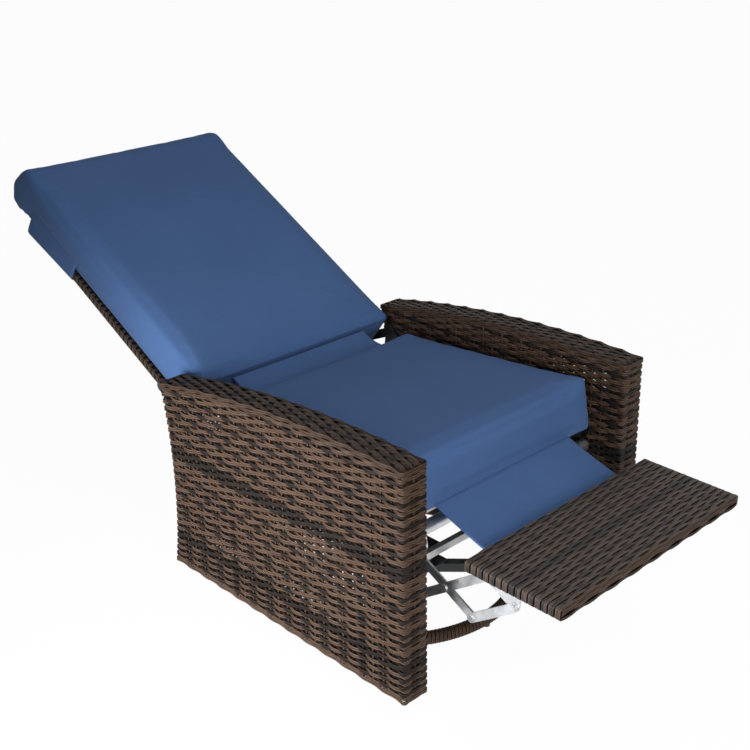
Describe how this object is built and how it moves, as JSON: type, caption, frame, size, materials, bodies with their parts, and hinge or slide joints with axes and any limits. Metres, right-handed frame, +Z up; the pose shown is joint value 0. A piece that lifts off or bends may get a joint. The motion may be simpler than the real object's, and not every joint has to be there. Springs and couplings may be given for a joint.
{
  "type": "reclining garden armchair",
  "caption": "Woven wicker armchair on a swivel ring base, with a laid-back cushioned backrest and a folding footrest on a flat-bar linkage.",
  "frame": {"origin": "on the swivel axis at floor level, under the middle of the ring base", "axes": "+Z up; the sitter faces -Y, so the laid-back backrest reaches towards +Y; X is the width, +X is the sitter's left"},
  "size_m": [0.66, 1.5447, 0.7376],
  "materials": {
    "wicker": "woven round strand, satin",
    "cushion_cloth": "woven cloth, matt",
    "zinc_steel": "bright zinc plate",
    "black_steel": "satin powder coat",
    "deck_board": "bare board, unseen",
    "glide_plastic": "moulded, matt"
  },
  "bodies": {
    "base": {"base_ring": "black_steel", "ring_binding": "wicker", "ring_glides": "glide_plastic", "cross_bar_long": "black_steel", "cross_bar_halves": "black_steel", "swivel_lower_plate": "black_steel", "bearing_lower_race": "zinc_steel", "bearing_balls": "zinc_steel", "swivel_spindle": "zinc_steel", "spindle_nut": "zinc_steel", "swivel_bolts": "zinc_steel"},
    "chassis": {"bearing_upper_race": "zinc_steel", "swivel_upper_plate": "black_steel", "lower_cross_rails": "black_steel", "arm_frame_left": "black_steel", "arm_frame_right": "black_steel", "arm_weave_left": "wicker", "arm_weave_right": "wicker", "seat_rail_left": "black_steel", "seat_rail_right": "black_steel", "seat_cross_rails": "black_steel", "seat_rail_bolts": "zinc_steel", "seat_deck": "deck_board", "cross_tubes": "zinc_steel", "mechanism_plate_left": "zinc_steel", "mechanism_plate_right": "zinc_steel", "main_pivot_pins": "zinc_steel", "follower_pivot_pins": "zinc_steel", "recline_bracket_left": "zinc_steel", "recline_bracket_right": "zinc_steel", "recline_studs": "zinc_steel", "stop_pins": "zinc_steel", "bracket_screws": "zinc_steel", "pivot_washers": "zinc_steel", "seat_cushion": "cushion_cloth", "front_flap": "cushion_cloth", "seat_strip": "cushion_cloth"},
    "backrest": {"back_frame": "black_steel", "back_weave": "wicker", "hinge_plate_left": "zinc_steel", "hinge_plate_right": "zinc_steel", "hinge_rivets": "zinc_steel", "back_cushion": "cushion_cloth", "back_hood": "cushion_cloth"},
    "main_arms": {"main_arm_left": "zinc_steel", "main_arm_right": "zinc_steel", "main_arm_pins": "zinc_steel"},
    "rear_lift_bars": {"rear_lift_bar_left": "zinc_steel", "rear_lift_bar_right": "zinc_steel"},
    "front_lift_bars": {"front_lift_bar_left": "zinc_steel", "front_lift_bar_right": "zinc_steel"},
    "follower_links": {"follower_link_left": "zinc_steel", "follower_link_right": "zinc_steel", "follower_tail_pins": "zinc_steel"},
    "footrest": {"footrest_bracket_left": "zinc_steel", "footrest_bracket_right": "zinc_steel", "footrest_pins": "zinc_steel", "footrest_screws": "zinc_steel", "footrest_frame": "black_steel", "footrest_weave": "wicker"}
  },
  "joints": [
    {"name": "swivel", "type": "hinge", "parent": "base", "child": "chassis", "pos_m": [0, 0, 0.06], "axis": [0, 0, 1], "continuous": true},
    {"name": "recline", "type": "hinge", "parent": "chassis", "child": "backrest", "pos_m": [0, 0.27793, 0.38622], "axis": [1, 0, 0], "range_deg": [0, 50], "deforming": ["seat_strip"]},
    {"name": "footrest_lift", "type": "hinge", "parent": "chassis", "child": "main_arms", "pos_m": [0, -0.27, 0.278], "axis": [1, 0, 0], "range_deg": [0, 90], "deforming": ["front_flap"]},
    {"name": "rear_bar_turn", "type": "hinge", "parent": "main_arms", "child": "rear_lift_bars", "pos_m": [0, -0.333, 0.222], "axis": [1, 0, 0], "range_deg": [-90, 0]},
    {"name": "front_bar_turn", "type": "hinge", "parent": "main_arms", "child": "front_lift_bars", "pos_m": [0, -0.3955, 0.19], "axis": [1, 0, 0], "range_deg": [-90, 0]},
    {"name": "footrest_turn", "type": "hinge", "parent": "rear_lift_bars", "child": "footrest", "pos_m": [0, -0.4225, 0.286], "axis": [1, 0, 0], "range_deg": [0, 90]},
    {"name": "follower_turn", "type": "hinge", "parent": "chassis", "child": "follower_links", "pos_m": [0, -0.20086, 0.22856], "axis": [1, 0, 0], "range_deg": [0, 90]}
  ],
  "couplings": [
    {"joint": "rear_bar_turn", "follows": "footrest_lift", "ratio": -1},
    {"joint": "front_bar_turn", "follows": "footrest_lift", "ratio": -1},
    {"joint": "footrest_turn", "follows": "footrest_lift", "ratio": 1},
    {"joint": "follower_turn", "follows": "footrest_lift", "ratio": 1}
  ]
}
